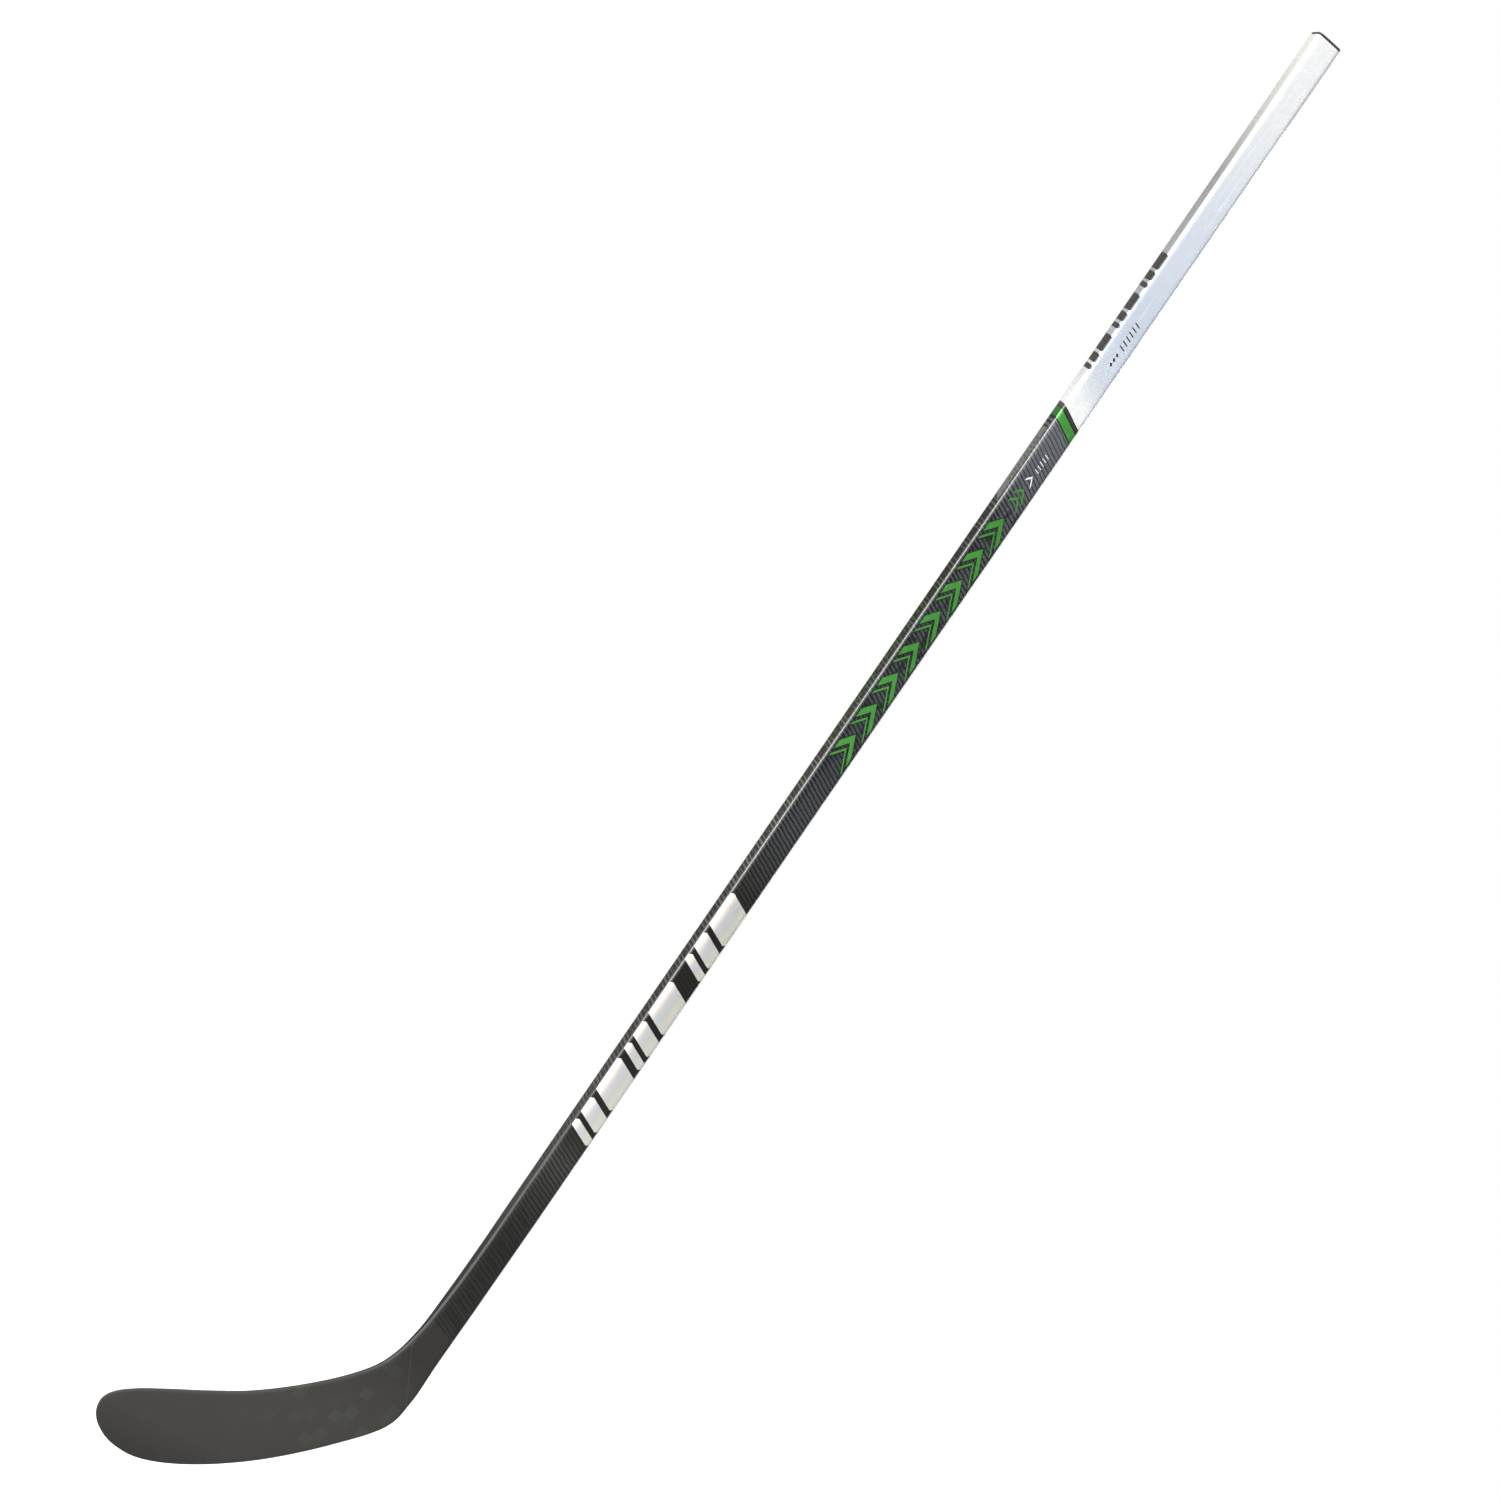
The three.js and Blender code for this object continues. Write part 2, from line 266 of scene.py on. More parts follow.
def mesh_from_rows(name, rows, close_rows, slots=None):
    """Quads between closed loops; close_rows joins the last loop to the first.

    Each loop's number in slots is the material of the quads that start at it.
    """
    count = len(rows[0])
    vertices = [tuple(p) for row in rows for p in row]
    faces = []
    indices = []
    last = len(rows) if close_rows else len(rows) - 1
    for r in range(last):
        faces += ring_quads(count, r * count, (r + 1) % len(rows) * count)
        indices += [slots[r] if slots else 0] * count
    if not close_rows:
        faces.append(tuple(range(count)))
        faces.append(tuple((len(rows) - 1) * count + c for c in reversed(range(count))))
        indices += [indices[0], indices[-1]]
    mesh = bpy.data.meshes.new(name)
    mesh.from_pydata(vertices, [], faces)
    for polygon, index in zip(mesh.polygons, indices):
        polygon.material_index = index
    face_outwards(mesh)
    return mesh


def face_outwards(mesh):
    """Joins doubled points and turns every face outwards."""
    work = bmesh.new()
    work.from_mesh(mesh)
    bmesh.ops.remove_doubles(work, verts=work.verts, dist=JOIN_DISTANCE)
    bmesh.ops.recalc_face_normals(work, faces=work.faces)
    work.to_mesh(mesh)
    work.free()
    mesh.update()


def finish_piece(obj, body, slot, *nodes):
    """Ties a piece to its body and hides the CAD nodes that it stands for. The slot argument is not
    used.
    """
    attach(obj, body)
    if nodes:
        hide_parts(*nodes)
    return obj


# ------------------------------ material helpers


def srgb(r, g, b):
    """A colour given in 0 to 255 display values, as linear RGBA."""
    def linear(value):
        value /= 255
        return value / 12.92 if value <= 0.04045 else ((value + 0.055) / 1.055) ** 2.4
    return (linear(r), linear(g), linear(b), 1.0)


class Nodes:
    """Short names for building a material's node tree."""

    def __init__(self, name):
        self.material = bpy.data.materials.new(name)
        self.material.use_nodes = True
        self.tree = self.material.node_tree
        self.shader = self.tree.nodes["Principled BSDF"]
        coordinate = self.tree.nodes.new("ShaderNodeTexCoord")
        self.position = coordinate.outputs["Object"]
        self.normal = coordinate.outputs["Normal"]
        self.x, self.y, self.z = self.split(self.position)

    def link(self, source, target):
        self.tree.links.new(source, target)

    def split(self, vector):
        node = self.tree.nodes.new("ShaderNodeSeparateXYZ")
        self.link(vector, node.inputs[0])
        return node.outputs

    def facing_toe(self):
        """How squarely the surface faces the toe side: 1 on the narrow toe-side faces."""
        return self.math("MULTIPLY", self.split(self.normal)[0], -1)

    def toe_edge(self):
        """Masks of the narrow face on the toe side, which runs on as the blade's upper edge, and of the
        rounded corners beside it. Materials paint shade through the first and a highlight through the
        second."""
        across, through, up = self.split(self.normal)
        flatness = self.math("ABSOLUTE", through)
        near = self.smooth(self.math("SUBTRACT", up, across), 0.2, 0.6)
        narrow = self.math("MULTIPLY", near, self.smooth(flatness, 0.24, 0.10))
        beside = self.math("MULTIPLY", near, self.smooth(flatness, 0.80, 0.55))
        corner = self.math("MULTIPLY", beside, self.smooth(flatness, 0.10, 0.30))
        return narrow, corner

    def feed(self, target, value):
        """Gives a socket another socket's value, or a constant."""
        if hasattr(value, "is_linked"):
            self.link(value, target)
        else:
            target.default_value = value

    def math(self, operation, a, b=0.0, c=0.0):
        node = self.tree.nodes.new("ShaderNodeMath")
        node.operation = operation
        for socket, value in zip(node.inputs, (a, b, c)):
            self.feed(socket, value)
        return node.outputs[0]

    def plane(self, along_x, along_y, along_z):
        """Distance along a direction, in metres."""
        total = self.math("MULTIPLY", self.x, along_x)
        total = self.math("MULTIPLY_ADD", self.y, along_y, total)
        return self.math("MULTIPLY_ADD", self.z, along_z, total)

    def smooth(self, value, low, high, out_low=0.0, out_high=1.0):
        """A smooth step from out_low to out_high as value goes from low to high."""
        node = self.tree.nodes.new("ShaderNodeMapRange")
        node.interpolation_type = "SMOOTHSTEP"
        for socket, given in zip(node.inputs, (value, low, high, out_low, out_high)):
            self.feed(socket, given)
        return node.outputs[0]

    def stripes(self, value, pitch, share, soft):
        """1 on a share of every pitch along value, with soft edges, else 0."""
        cycle = self.math("FRACT", self.math("DIVIDE", value, pitch))
        distance = self.math("ABSOLUTE", self.math("SUBTRACT", cycle, 0.5))
        return self.smooth(self.math("MULTIPLY_ADD", share, -0.5, distance), soft, -soft)

    def noise(self, scale, detail, stretch=(1, 1, 1), rough=0.55, distortion=0.0):
        mapping = self.tree.nodes.new("ShaderNodeMapping")
        mapping.inputs["Scale"].default_value = stretch
        self.link(self.position, mapping.inputs["Vector"])
        node = self.tree.nodes.new("ShaderNodeTexNoise")
        self.link(mapping.outputs[0], node.inputs["Vector"])
        node.inputs["Scale"].default_value = scale
        node.inputs["Detail"].default_value = detail
        node.inputs["Roughness"].default_value = rough
        node.inputs["Distortion"].default_value = distortion
        return node.outputs[0]

    def cells(self, scale):
        """Distance to the middle of the nearest of many small cells."""
        node = self.tree.nodes.new("ShaderNodeTexVoronoi")
        self.link(self.position, node.inputs["Vector"])
        node.inputs["Scale"].default_value = scale
        return node.outputs[0]

    def tile_value(self, a, b):
        """A random value from 0 to 1 for each pair of whole numbers."""
        pair = self.tree.nodes.new("ShaderNodeCombineXYZ")
        self.feed(pair.inputs[0], a)
        self.feed(pair.inputs[1], b)
        node = self.tree.nodes.new("ShaderNodeTexWhiteNoise")
        self.link(pair.outputs[0], node.inputs["Vector"])
        return node.outputs["Value"]

    def ramp(self, value, *stops):
        """Colours at positions along value: each stop is a position and r, g, b."""
        node = self.tree.nodes.new("ShaderNodeValToRGB")
        elements = node.color_ramp.elements
        while len(elements) < len(stops):
            elements.new(0.5)
        for element, (position, *shade) in zip(elements, stops):
            element.position = position
            element.color = srgb(*shade)
        self.link(value, node.inputs[0])
        return node.outputs[0]

    def down_shaft(self, low, high):
        """0 to 1 between two distances below the butt, in millimetres."""
        node = self.tree.nodes.new("ShaderNodeMapRange")
        for socket, given in zip(node.inputs, (self.z, -low * MM, -high * MM, 0.0, 1.0)):
            self.feed(socket, given)
        return node.outputs[0]

    def mix(self, factor, a, b, blend="MIX"):
        """Two colours mixed; inputs 6 and 7 and output 2 are the node's colour sockets."""
        node = self.tree.nodes.new("ShaderNodeMix")
        node.data_type = "RGBA"
        node.blend_type = blend
        self.feed(node.inputs[0], factor)
        self.feed(node.inputs[6], a)
        self.feed(node.inputs[7], b)
        return node.outputs[2]

    def bump(self, height, distance, strength=1.0, after=None):
        node = self.tree.nodes.new("ShaderNodeBump")
        node.inputs["Strength"].default_value = strength
        node.inputs["Distance"].default_value = distance
        self.feed(node.inputs["Height"], height)
        if after is not None:
            self.link(after, node.inputs["Normal"])
        return node.outputs[0]

    def finish(self, colour, roughness, normal=None, **constants):
        """Feeds the shader; constants name its other sockets, with _ for a space."""
        self.feed(self.shader.inputs["Base Color"], colour)
        self.feed(self.shader.inputs["Roughness"], roughness)
        if normal is not None:
            self.link(normal, self.shader.inputs["Normal"])
        for name, value in constants.items():
            self.shader.inputs[name.replace("_", " ")].default_value = value
        return self.material


# A paler tone painted on the toe-side corners of the lower shaft and the hosel: a painted highlight.
TOE_CORNER_PAINTED_HIGHLIGHT = srgb(77, 77, 74)


# ------------------------------ materials of the shaft


def side_face_mask(n):
    """1 on the two narrow faces of the shaft."""
    return n.smooth(n.math("ABSOLUTE", n.x), 13.4 * MM, 14.0 * MM)


def corner_mask(n):
    """1 along the four rounded corners of the shaft."""
    reach = n.math("ADD", n.math("ABSOLUTE", n.x), n.math("ABSOLUTE", n.y))
    return n.smooth(reach, 20.1 * MM, 20.9 * MM)


def grip_white():
    """Pearl white lacquer that turns lavender down the shaft, with fine lengthwise streaks, and painted
    shade on its narrow faces and towards its heel-side corner.
    """
    n = Nodes("grip_white")
    along = n.down_shaft(0, GRIP_END)
    drift = n.math("MULTIPLY_ADD", n.noise(14, 3, (1, 1, 0.35)), 0.16, -0.08)
    where = n.math("ADD", along, drift)
    body = n.ramp(
        where,
        (0.0, 236, 237, 237), (0.22, 225, 228, 230), (0.45, 206, 212, 221),
        (0.78, 191, 200, 213), (0.90, 198, 205, 215), (0.97, 228, 230, 230),
    )
    streaks = n.noise(26, 4, (14, 14, 0.25), 0.7)
    body = n.mix(n.smooth(streaks, 0.56, 0.78, 0, 0.55), body, srgb(246, 248, 250))
    # Painted shade: both narrow faces are grey, darkest part way down the white grip.
    edge = n.ramp(
        along,
        (0.03, 206, 205, 198), (0.19, 178, 178, 174), (0.38, 131, 131, 129),
        (0.60, 136, 138, 140), (0.80, 147, 150, 154), (0.97, 204, 204, 202),
    )
    # Painted shade: the broad faces darken to blue-grey towards the heel-side corner, more so down the
    # shaft.
    heel_corner_shade_mask = n.smooth(n.x, 10.4 * MM, 13.2 * MM, 0, 0.6)
    shaded = n.math("MULTIPLY", heel_corner_shade_mask, n.smooth(along, 0.0, 0.3, 0.5, 1))
    body = n.mix(shaded, body, srgb(128, 134, 148))
    hatch = n.stripes(n.plane(0.3, 0.9, 1.0), 1.3 * MM, 0.45, 0.2)
    edge = n.mix(n.math("MULTIPLY", hatch, 0.22), edge, srgb(80, 83, 85))
    colour = n.mix(side_face_mask(n), body, edge)
    orange_peel = n.bump(n.noise(420, 2), 0.02 * MM)
    roughness = n.smooth(streaks, 0.3, 0.8, 0.22, 0.32)
    return n.finish(colour, roughness, orange_peel, Coat_Weight=0.8, Coat_Roughness=0.06)


def contour_lines(n, along):
    """Slanting contour lines of the dark print, denser at the toe side, with a faint fine ruling."""
    slant = n.plane(SLANT_X, SLANT_Y, 1.0)
    wobble = n.math("MULTIPLY_ADD", n.noise(160, 2, (1, 1, 0.5)), 2.4 * MM, -1.2 * MM)
    ticked = n.math("MULTIPLY", n.smooth(along, 0.04, 0.12), n.smooth(along, 0.5, 0.4))
    near_toe_side = n.math("MULTIPLY", n.smooth(n.x, -4 * MM, -9.5 * MM), ticked)
    share = n.math("MULTIPLY_ADD", near_toe_side, 0.25, n.smooth(along, 0.03, 0.10, 0.24, 0.38))
    lines = n.stripes(n.math("ADD", slant, wobble), 4.4 * MM, share, 0.07)
    calmer = n.math("ADD", slant, n.math("MULTIPLY", wobble, 0.4))
    ruling = n.stripes(calmer, 0.92 * MM, 0.4, 0.25)
    return n.math("MAXIMUM", lines, n.math("MULTIPLY", ruling, 0.12))


def field_face(n, along, lines):
    """The broad faces: grey-blue with smudges, then nearly black, then hatched dark grey."""
    base = n.ramp(
        along,
        (0.0, 100, 103, 108), (0.12, 72, 76, 80), (0.36, 62, 66, 70),
        (0.44, 64, 67, 70), (0.50, 46, 46, 45), (0.53, 28, 27, 25),
        (0.77, 25, 23, 20), (0.81, 62, 62, 59), (0.87, 48, 48, 46),
        (0.90, 37, 37, 36), (1.0, 42, 42, 41),
    )
    dark = n.ramp(
        along,
        (0.0, 26, 28, 30), (0.12, 12, 13, 13), (0.54, 10, 9, 8),
        (0.80, 26, 26, 24), (1.0, 29, 29, 28),
    )
    colour = n.mix(n.math("MULTIPLY", lines, 0.88), base, dark)
    marked = n.math("MULTIPLY", n.smooth(along, 0.04, 0.10), n.smooth(along, 0.40, 0.34))
    smudge = n.smooth(n.noise(95, 3, (1, 1, 0.45), 0.6, 0.8), 0.48, 0.62, 0, 0.8)
    colour = n.mix(n.math("MULTIPLY", marked, smudge), colour, srgb(20, 21, 22))
    hatched = n.math("MULTIPLY", n.smooth(along, 0.81, 0.85), n.smooth(along, 0.92, 0.89))
    lengthwise = n.stripes(n.x, 2.3 * MM, 0.34, 0.16)
    hatching = n.math("MULTIPLY", n.math("MULTIPLY", hatched, lengthwise), 0.7)
    return n.mix(hatching, colour, dark)


def field_side(n, along, lines):
    """The narrow faces: warm grey with dark bands, and nearly black towards the hosel."""
    colour = n.ramp(
        along,
        (0.0, 80, 78, 74), (0.2, 62, 67, 56), (0.42, 92, 90, 84),
        (0.54, 76, 74, 71), (0.72, 74, 72, 69), (0.82, 44, 43, 41),
        (0.91, 18, 18, 17), (1.0, 9, 9, 9),
    )
    bands = n.stripes(n.plane(SLANT_X, SLANT_Y, 1.0), 5.5 * MM, 0.5, 0.12)
    depth = n.smooth(along, 0.80, 0.88, 0.8, 0.1)
    banded = n.math("MULTIPLY", n.math("MAXIMUM", bands, lines), depth)
    return n.mix(banded, colour, srgb(20, 19, 17))


def field_side_mask(n, along):
    """1 on the narrow faces: told by place on the straight shaft, by slope where it tapers."""
    straight = side_face_mask(n)
    tapering = n.smooth(n.math("ABSOLUTE", n.split(n.normal)[1]), 0.50, 0.30)
    lower = n.smooth(along, 0.80, 0.88)
    return n.math("MULTIPLY_ADD", lower, n.math("SUBTRACT", tapering, straight), straight)


def printed_carbon():
    """Grey-blue to near-black field with slanting contour lines under clear lacquer, and painted
    highlights along its corners.
    """
    n = Nodes("printed_carbon")
    along = n.down_shaft(FIELD_START, FIELD_END)
    lines = contour_lines(n, along)
    side = field_side_mask(n, along)
    colour = n.mix(side, field_face(n, along, lines), field_side(n, along, lines))
    # Painted highlight: a paler line along all four corners of the upper field, fading out down the
    # shaft.
    painted_corner_highlight = n.math("MULTIPLY", corner_mask(n), n.smooth(along, 0.62, 0.80, 0.2, 0.0))
    colour = n.mix(painted_corner_highlight, colour, srgb(150, 150, 148))
    # Painted highlight on the toe-side corners of the lower shaft.
    toe_corner_highlight_mask = n.math("MULTIPLY", n.toe_edge()[1], n.smooth(along, 0.70, 0.82))
    colour = n.mix(toe_corner_highlight_mask, colour, TOE_CORNER_PAINTED_HIGHLIGHT)
    roughness = n.smooth(side, 0, 1, n.smooth(along, 0.5, 0.95, 0.26, 0.42), 0.22)
    relief = n.bump(lines, 0.03 * MM, 0.5)
    relief = n.bump(n.noise(500, 2), 0.015 * MM, 0.6, relief)
    lacquer = n.smooth(side, 0, 1, n.smooth(along, 0.55, 0.85, 1.0, 0.12), 0.05)
    n.link(lacquer, n.shader.inputs["Coat Weight"])
    return n.finish(colour, roughness, relief, Specular_IOR_Level=0.03, Coat_Roughness=0.1)


def trim_dark():
    """Warm dark-grey lacquer line beside the colour band."""
    n = Nodes("trim_dark")
    colour = n.ramp(n.noise(300, 3, (1, 1, 0.2)), (0.3, 46, 43, 39), (0.7, 62, 58, 53))
    return n.finish(colour, 0.3, n.bump(n.noise(500, 2), 0.02 * MM), Coat_Weight=0.5)


def ink_black():
    """Black ink of the band's edges and of the small marks."""
    n = Nodes("ink_black")
    colour = n.ramp(n.noise(260, 3), (0.3, 14, 15, 14), (0.7, 26, 28, 26))
    return n.finish(colour, 0.32, n.bump(n.noise(500, 2), 0.02 * MM), Coat_Weight=0.4)


def candy_green():
    """Metallic green ink: fine flake under lacquer, with painted shade making it darker on the narrow
    faces.
    """
    n = Nodes("candy_green")
    flake = n.cells(2600)
    tint = n.ramp(n.noise(60, 3, (1, 1, 0.3)), (0.3, 52, 132, 45), (0.7, 68, 150, 58))
    colour = n.mix(n.smooth(flake, 0.2, 0.75, 0, 0.22), tint, srgb(104, 186, 86))
    # Painted shade: darker green on the narrow faces.
    colour = n.mix(side_face_mask(n), colour, srgb(30, 94, 22))
    return n.finish(colour, 0.3, n.bump(flake, 0.01 * MM, 0.4), Metallic=0.25, Coat_Weight=0.6,
                    Coat_Roughness=0.08)


def silver_foil():
    """Holographic silver foil whose tint drifts across the face, with a painted highlight at its
    toe-side edge.
    """
    n = Nodes("silver_foil")
    drift = n.math("MULTIPLY_ADD", n.noise(13, 2, (1, 1, 0.5)), 9 * MM, -4.5 * MM)
    across = n.smooth(n.math("ADD", n.x, drift), -14.5 * MM, 14.5 * MM)
    # The near-white and cream stops at the toe-side edge are a painted highlight.
    colour = n.ramp(
        across,
        (0.0, 244, 244, 242), (0.10, 236, 231, 218), (0.18, 220, 207, 198),
        (0.28, 192, 192, 198), (0.60, 187, 188, 186), (0.80, 195, 197, 181),
        (1.0, 203, 202, 194),
    )
    cold = n.noise(24, 2, (1, 1, 0.8))
    colour = n.mix(n.smooth(cold, 0.50, 0.75, 0, 0.2), colour, srgb(184, 190, 208))
    grain = n.noise(900, 2, (1, 1, 0.12))
    return n.finish(colour, n.smooth(grain, 0.3, 0.7, 0.30, 0.38), n.bump(grain, 0.006 * MM, 0.4),
                    Metallic=0.25, Coat_Weight=0.6, Coat_Roughness=0.08)


def mark_ink(name, low, high, shine=0.4):
    """Flat printed ink of a small mark, slightly mottled."""
    n = Nodes(name)
    colour = n.ramp(n.noise(350, 3), (0.3, *low), (0.7, *high))
    return n.finish(colour, 0.34, n.bump(n.noise(600, 2), 0.015 * MM), Coat_Weight=shine,
                    Specular_IOR_Level=0.1)


def bore_carbon():
    """Raw resin-rich carbon on the inside of the tube: a fine twill."""
    n = Nodes("bore_carbon")
    weft = n.stripes(n.plane(1, 1, 1), 3.0 * MM, 0.5, 0.2)
    warp = n.stripes(n.plane(1, 1, -1), 3.0 * MM, 0.5, 0.2)
    weave = n.math("ABSOLUTE", n.math("SUBTRACT", weft, warp))
    colour = n.mix(weave, srgb(30, 30, 31), srgb(52, 52, 53))
    return n.finish(colour, 0.42, n.bump(weave, 0.08 * MM))


# ------------------------------ materials of the blade


def blade_coordinates(n):
    """Distances along the blade from the heel and across it, in metres."""
    sine, cosine = math.sin(LIE), math.cos(LIE)
    along = n.math("ADD", n.plane(-sine, 0, -cosine), HEEL_Z * cosine)
    across = n.math("SUBTRACT", n.plane(-cosine, 0, sine), HEEL_Z * sine)
    return along, across


def tow_checks(n, along, across):
    """A random value for each square check of the spread tow, laid at 45 degrees."""
    tow_width = 15 * MM
    rise = n.math("DIVIDE", n.math("ADD", along, across), tow_width)
    fall = n.math("DIVIDE", n.math("SUBTRACT", along, across), tow_width)
    return n.tile_value(n.math("FLOOR", rise), n.math("FLOOR", fall))


def heel_seam_line(n):
    """A thin slanting line across the heel, where the outer ply of the hosel ends."""
    lean = 0.58
    seam_x, seam_z = -18 * MM, -1455 * MM
    offset = n.math("SUBTRACT", n.plane(1.0, 0, lean), seam_x + seam_z * lean)
    return n.smooth(n.math("ABSOLUTE", offset), 0.5 * MM, 0.15 * MM)


def raw_carbon():
    """Matt spread-tow laminate: wide checks that fade towards the toe and up the hosel, under painted
    light, shade and highlights.
    """
    n = Nodes("raw_carbon")
    along, across = blade_coordinates(n)
    tile = tow_checks(n, along, across)
    check = n.smooth(tile, 0.60, 1.0)
    strength = n.math("MULTIPLY", n.smooth(along, 150 * MM, 60 * MM, 0.22, 1.0),
                      n.smooth(along, -40 * MM, -5 * MM, 0.15, 1.0))
    # Painted light and shade along the blade's height: darker up the hosel and at the lowest edge,
    # lighter across the middle.
    blade_painted_shading = n.ramp(
        n.down_shaft(1380, 1660),
        (0.0, 47, 45, 43), (0.30, 49, 48, 46), (0.45, 58, 57, 54),
        (0.60, 62, 61, 58), (0.85, 60, 58, 56), (1.0, 48, 47, 45),
    )
    light = n.mix(1.0, blade_painted_shading, (1.10, 1.13, 1.11, 1), "MULTIPLY")
    dark = n.mix(1.0, blade_painted_shading, (0.95, 0.95, 0.95, 1), "MULTIPLY")
    colour = n.mix(strength, blade_painted_shading, n.mix(check, dark, light))
    colour = n.mix(n.math("MULTIPLY", heel_seam_line(n), 0.35), colour, srgb(80, 80, 76))
    speck = n.smooth(n.cells(240), 0.06, 0.03, 0, 0.25)
    colour = n.mix(speck, colour, srgb(96, 96, 92))
    narrow, corner = n.toe_edge()
    hosel_part = n.smooth(along, 60 * MM, -10 * MM, 0.15, 1.0)
    # Painted highlight on the toe-side corners of the hosel, fading along the blade.
    colour = n.mix(n.math("MULTIPLY", corner, hosel_part), colour, TOE_CORNER_PAINTED_HIGHLIGHT)
    # Painted shade: the toe-side narrow face turns near-black on the hosel, and faintly so along the
    # blade's upper edge.
    colour = n.mix(n.math("MULTIPLY", narrow, hosel_part), colour, srgb(12, 12, 11))
    step = n.bump(n.math("MULTIPLY", check, strength), 0.05 * MM, 0.7)
    grain = n.bump(n.noise(700, 3, rough=0.6), 0.03 * MM, 0.8, step)
    roughness = n.smooth(n.facing_toe(), 0.5, 0.85, n.smooth(tile, 0, 1, 0.54, 0.64), 0.26)
    return n.finish(colour, roughness, grain, Specular_IOR_Level=0.05)


def cap_plastic():
    """Moulded charcoal plastic with a spark-eroded texture."""
    n = Nodes("cap_plastic")
    colour = n.ramp(n.noise(140, 4), (0.35, 52, 53, 55), (0.65, 66, 67, 69))
    pits = n.noise(1800, 2)
    return n.finish(colour, n.smooth(pits, 0.3, 0.7, 0.42, 0.58), n.bump(pits, 0.05 * MM, 0.8))


def core_foam():
    """Closed-cell foam, cream, with fine open cells where it was cut."""
    n = Nodes("core_foam")
    cells = n.cells(900)
    tint = n.ramp(n.noise(45, 4), (0.3, 226, 214, 178), (0.7, 240, 231, 202))
    colour = n.mix(n.smooth(cells, 0.5, 0.15, 0, 0.4), tint, srgb(196, 180, 138))
    return n.finish(colour, 0.9, n.bump(cells, 0.25 * MM))


def carbon_tow():
    """Cured carbon tow: fine parallel fibres in glossy resin."""
    n = Nodes("carbon_tow")
    fibres = n.noise(60, 3, (24, 24, 1.2), 0.7)
    colour = n.ramp(fibres, (0.3, 24, 24, 26), (0.7, 50, 50, 53))
    return n.finish(colour, n.smooth(fibres, 0.3, 0.7, 0.3, 0.5), n.bump(fibres, 0.04 * MM))


# ------------------------------ the shaft


# Places of the tube's materials in its list, and the height in millimetres where each one that
# follows the white starts.
WHITE, TRIM_LINE, BLACK_LINE, GREEN_LINE, FIELD, BORE = range(6)
ZONES = {-GRIP_END: TRIM_LINE, -420: BLACK_LINE, -421.2: GREEN_LINE, -430: BLACK_LINE, -431.4: FIELD}


def tube_row(z, inset=0.0, weight=0.0):
    """A section loop of the tube at height z, sheared by weight onto the print's slant."""
    return slanted(section_loop(shaft_rib(z, FILM_ROOM + inset), FILM_ROOM + inset), weight)


def print_weight(z):
    """How fully a row follows the print's slant, by height in millimetres.

    The tube's ends are level. The slant grows over 90 mm from -60 down, and goes over the 70 mm
    down to -1290.
    """
    below_top, above_end = -60 - z, z + 1290
    return min(max(min(below_top / 90, above_end / 70), 0.0), 1.0)


def painted_shaft(materials):
    """The tube in one shell: down its printed outside, round its lower end and up its bore."""
    top = SHAFT_TOP / MM
    lip = 0.3
    # Rows of the straight part: closest near the butt, and one where each material starts.
    straight = [top - lip, *range(-6, -60, -9), *range(-60, -412, -16), *ZONES, *range(-440, -1300, -20)]
    rows = [tube_row(top * MM, lip * MM)]
    slots = [WHITE]
    current = WHITE
    for z in straight:
        current = ZONES.get(z, current)
        rows.append(tube_row(z * MM, 0.0, print_weight(z)))
        slots.append(current)
    taper = [SHAFT_END * step / TAPER_STEPS for step in range(TAPER_STEPS + 1)]
    for station in taper:
        room = FILM_ROOM + (LAMINATE_ROOM - FILM_ROOM) * station / SHAFT_END
        rows.append(section_loop(rib_at(station, room), room))
        slots.append(FIELD)
    slots[-1] = BORE
    for station in reversed(taper):
        rows.append(section_loop(rib_at(station, SHAFT_WALL), SHAFT_WALL))
        slots.append(BORE)
    for z in (-900, -500, -120, -40, top - lip, top):
        flare = lip * MM if z == top else 0
        rows.append(tube_row(z * MM, SHAFT_WALL - flare - FILM_ROOM))
        slots.append(BORE)
    mesh = mesh_from_rows("painted_shaft", rows, True, slots)
    obj = new_object("painted_shaft", mesh, materials)
    return finish_piece(obj, "stick", "shaft_lacquer", "shaft_tube")


# ------------------------------ printed film


# Half the section's two flats, a corner's arc, and the girths where flats and arcs meet.
FLAT_X = SHAFT_WIDTH / 2 - SHAFT_CORNER
FLAT_Y = SHAFT_THICKNESS / 2 - SHAFT_CORNER
ARC = SHAFT_CORNER * math.pi / 2
FILM_BREAKS = [FLAT_X, FLAT_X + ARC, FLAT_X + ARC + 2 * FLAT_Y, FLAT_X + 2 * ARC + 2 * FLAT_Y]
FILM_ARC_STEPS = 6

# Where the top of a film lies, outwards from the CAD part's surface, and its sunk underside. The
# tube's lacquer is FILM_ROOM inside that surface, so every film stands proud of it.
LOW, MIDDLE, HIGH = -0.04 * MM, -0.02 * MM, 0.0
UNDERSIDE = -5 * FILM_ROOM


